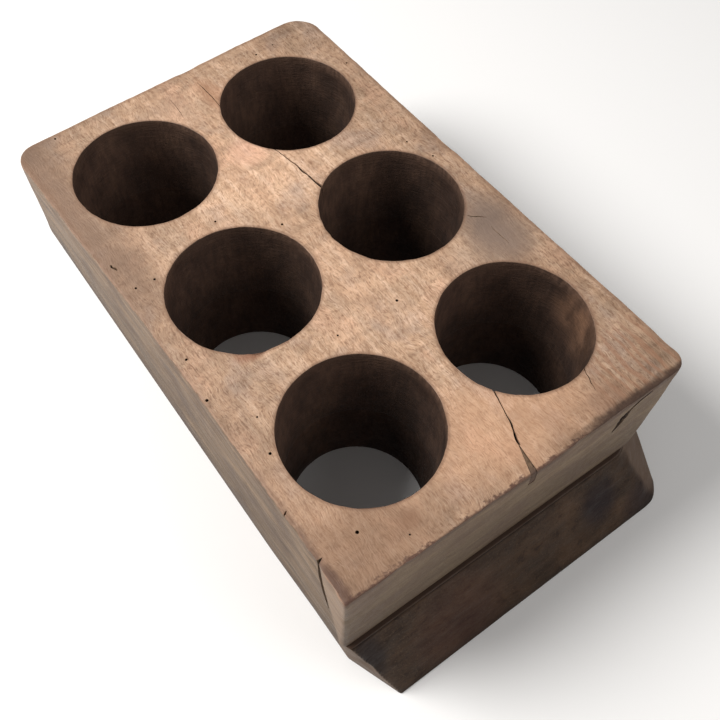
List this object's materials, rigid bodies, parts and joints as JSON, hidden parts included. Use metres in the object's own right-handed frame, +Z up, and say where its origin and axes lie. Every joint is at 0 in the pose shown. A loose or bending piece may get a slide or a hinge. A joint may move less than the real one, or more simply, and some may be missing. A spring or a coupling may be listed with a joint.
{
  "type": "egg holder block",
  "caption": "Thick two-layer wooden block with two rows of deep round through holes, used to hold eggs or candles, with sloping toes at both ends.",
  "frame": {"origin": "on the surface that the block stands on, under the middle of its outline", "axes": "+Z up, +Y along the block from the near end to the far end, +X across it to the right"},
  "size_m": [0.202, 0.3682, 0.093],
  "materials": {
    "light_wood": "sanded, dry, worn",
    "dark_wood": "old dark patina",
    "filler": "dull, sanded flush",
    "peg_wood": "plain, unseen"
  },
  "bodies": {
    "root": {"upper_block": "light_wood", "lower_block": "dark_wood", "crack_filler": "filler", "centre_dowel_near": "peg_wood", "centre_dowel_far": "peg_wood", "corner_dowel_near_left": "peg_wood", "corner_dowel_near_right": "peg_wood", "corner_dowel_far_left": "peg_wood", "corner_dowel_far_right": "peg_wood"}
  },
  "joints": []
}
